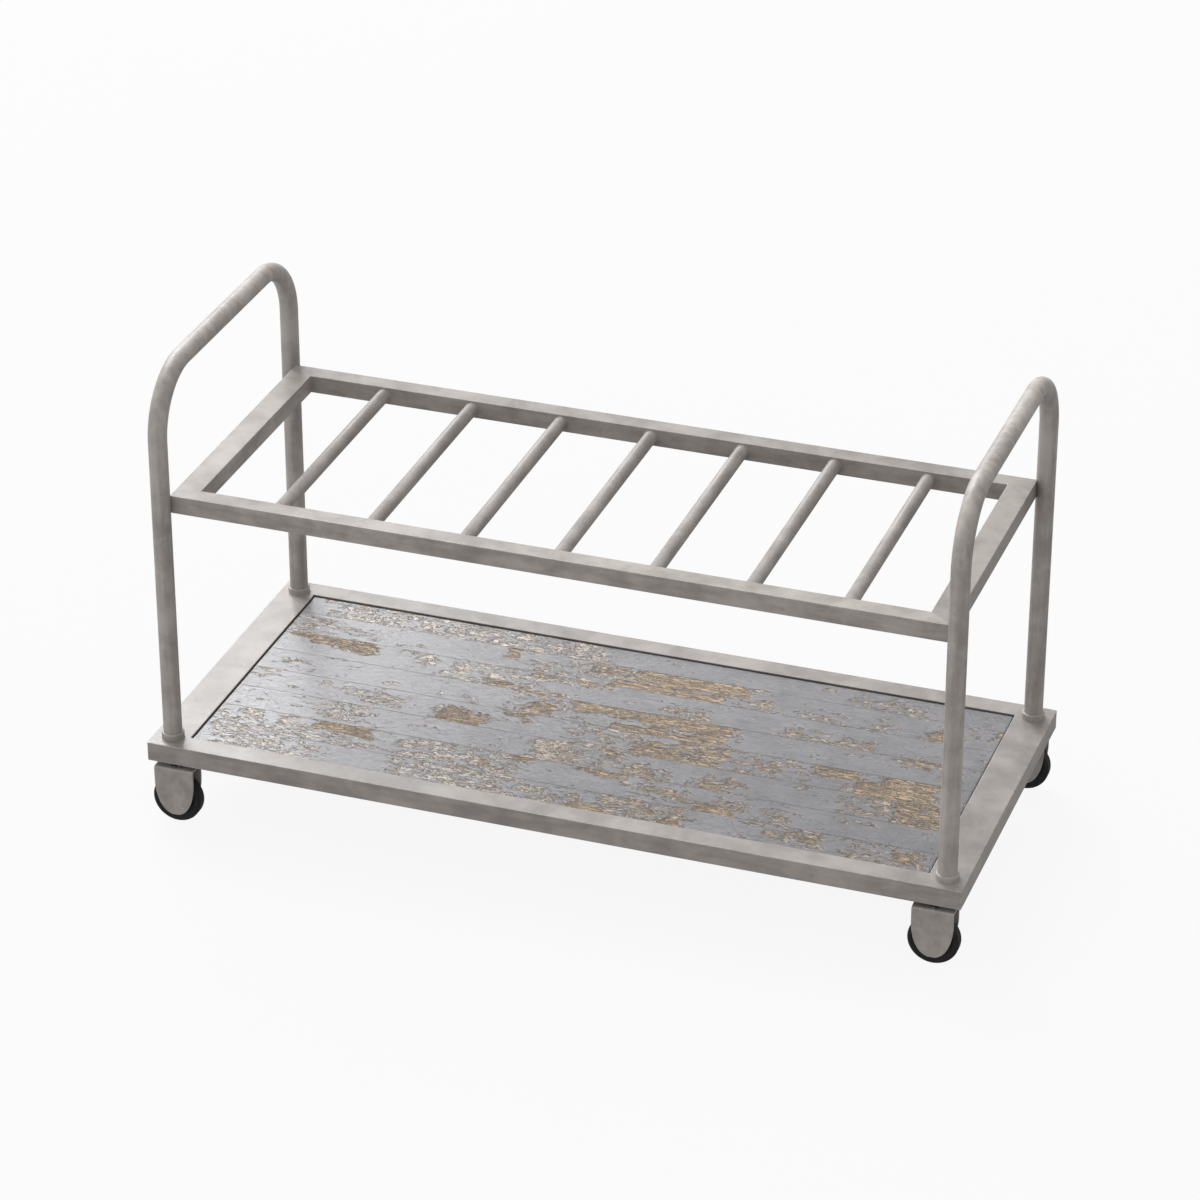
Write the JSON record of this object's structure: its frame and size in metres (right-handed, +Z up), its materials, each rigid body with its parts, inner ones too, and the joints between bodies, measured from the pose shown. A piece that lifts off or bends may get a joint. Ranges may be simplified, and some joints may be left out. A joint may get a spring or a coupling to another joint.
{
  "type": "plant trolley",
  "caption": "Long low plant trolley: a framed plank deck on swivel casters, tube hoops as posts and handles at both ends, and an open bar shelf between them.",
  "frame": {"origin": "on the floor under the middle of the trolley", "axes": "+X along the trolley's length, +Y from the front side to the back side, +Z up"},
  "size_m": [1.2, 0.521, 0.699],
  "materials": {
    "greige_metal": "matte warm grey paint with soft mottling",
    "worn_board": "blue-grey paint flaking along the grain, bare tan wood below",
    "zinc_steel": "dull zinc plate",
    "black_rubber": "matte black rubber, slightly dusty",
    "wheel_centre": "matte grey moulding"
  },
  "bodies": {
    "trolley_frame": {"base_rail_front": "greige_metal", "base_rail_back": "greige_metal", "base_rail_left": "greige_metal", "base_rail_right": "greige_metal", "deck_plank_1": "worn_board", "deck_plank_2": "worn_board", "deck_plank_3": "worn_board", "deck_plank_4": "worn_board", "deck_plank_5": "worn_board", "deck_plank_6": "worn_board", "deck_plank_7": "worn_board", "deck_plank_8": "worn_board", "deck_cross_bar_1": "greige_metal", "deck_cross_bar_2": "greige_metal", "deck_cross_bar_3": "greige_metal", "hoop_left": "greige_metal", "hoop_right": "greige_metal", "post_collar_front_left": "greige_metal", "post_collar_front_right": "greige_metal", "post_collar_back_left": "greige_metal", "post_collar_back_right": "greige_metal", "post_spigot_front_left": "zinc_steel", "post_spigot_front_right": "zinc_steel", "post_spigot_back_left": "zinc_steel", "post_spigot_back_right": "zinc_steel", "shelf_rail_front": "greige_metal", "shelf_rail_back": "greige_metal", "shelf_rail_left": "greige_metal", "shelf_rail_right": "greige_metal", "shelf_bar_1": "greige_metal", "shelf_bar_2": "greige_metal", "shelf_bar_3": "greige_metal", "shelf_bar_4": "greige_metal", "shelf_bar_5": "greige_metal", "shelf_bar_6": "greige_metal", "shelf_bar_7": "greige_metal", "caster_pin_front_left": "zinc_steel", "caster_pin_front_right": "zinc_steel", "caster_pin_back_left": "zinc_steel", "caster_pin_back_right": "zinc_steel", "caster_race_front_left": "zinc_steel", "caster_race_front_right": "zinc_steel", "caster_race_back_left": "zinc_steel", "caster_race_back_right": "zinc_steel"},
    "fork_front_left": {"caster_fork_front_left": "greige_metal", "caster_axle_front_left": "zinc_steel"},
    "wheel_front_left": {"caster_hub_front_left": "wheel_centre", "caster_tyre_front_left": "black_rubber"},
    "fork_front_right": {"caster_fork_front_right": "greige_metal", "caster_axle_front_right": "zinc_steel"},
    "wheel_front_right": {"caster_hub_front_right": "wheel_centre", "caster_tyre_front_right": "black_rubber"},
    "fork_back_left": {"caster_fork_back_left": "greige_metal", "caster_axle_back_left": "zinc_steel"},
    "wheel_back_left": {"caster_hub_back_left": "wheel_centre", "caster_tyre_back_left": "black_rubber"},
    "fork_back_right": {"caster_fork_back_right": "greige_metal", "caster_axle_back_right": "zinc_steel"},
    "wheel_back_right": {"caster_hub_back_right": "wheel_centre", "caster_tyre_back_right": "black_rubber"}
  },
  "joints": [
    {"name": "swivel_front_left", "type": "hinge", "parent": "trolley_frame", "child": "fork_front_left", "pos_m": [-0.561, -0.2451, 0.089], "axis": [0, 0, 1], "continuous": true},
    {"name": "roll_front_left", "type": "hinge", "parent": "fork_front_left", "child": "wheel_front_left", "pos_m": [-0.561, -0.2451, 0.0365], "axis": [0, 1, 0], "continuous": true},
    {"name": "swivel_front_right", "type": "hinge", "parent": "trolley_frame", "child": "fork_front_right", "pos_m": [0.561, -0.2451, 0.089], "axis": [0, 0, 1], "continuous": true},
    {"name": "roll_front_right", "type": "hinge", "parent": "fork_front_right", "child": "wheel_front_right", "pos_m": [0.561, -0.2451, 0.0365], "axis": [0, 1, 0], "continuous": true},
    {"name": "swivel_back_left", "type": "hinge", "parent": "trolley_frame", "child": "fork_back_left", "pos_m": [-0.561, 0.2451, 0.089], "axis": [0, 0, 1], "continuous": true},
    {"name": "roll_back_left", "type": "hinge", "parent": "fork_back_left", "child": "wheel_back_left", "pos_m": [-0.561, 0.2451, 0.0365], "axis": [0, 1, 0], "continuous": true},
    {"name": "swivel_back_right", "type": "hinge", "parent": "trolley_frame", "child": "fork_back_right", "pos_m": [0.561, 0.2451, 0.089], "axis": [0, 0, 1], "continuous": true},
    {"name": "roll_back_right", "type": "hinge", "parent": "fork_back_right", "child": "wheel_back_right", "pos_m": [0.561, 0.2451, 0.0365], "axis": [0, 1, 0], "continuous": true}
  ]
}
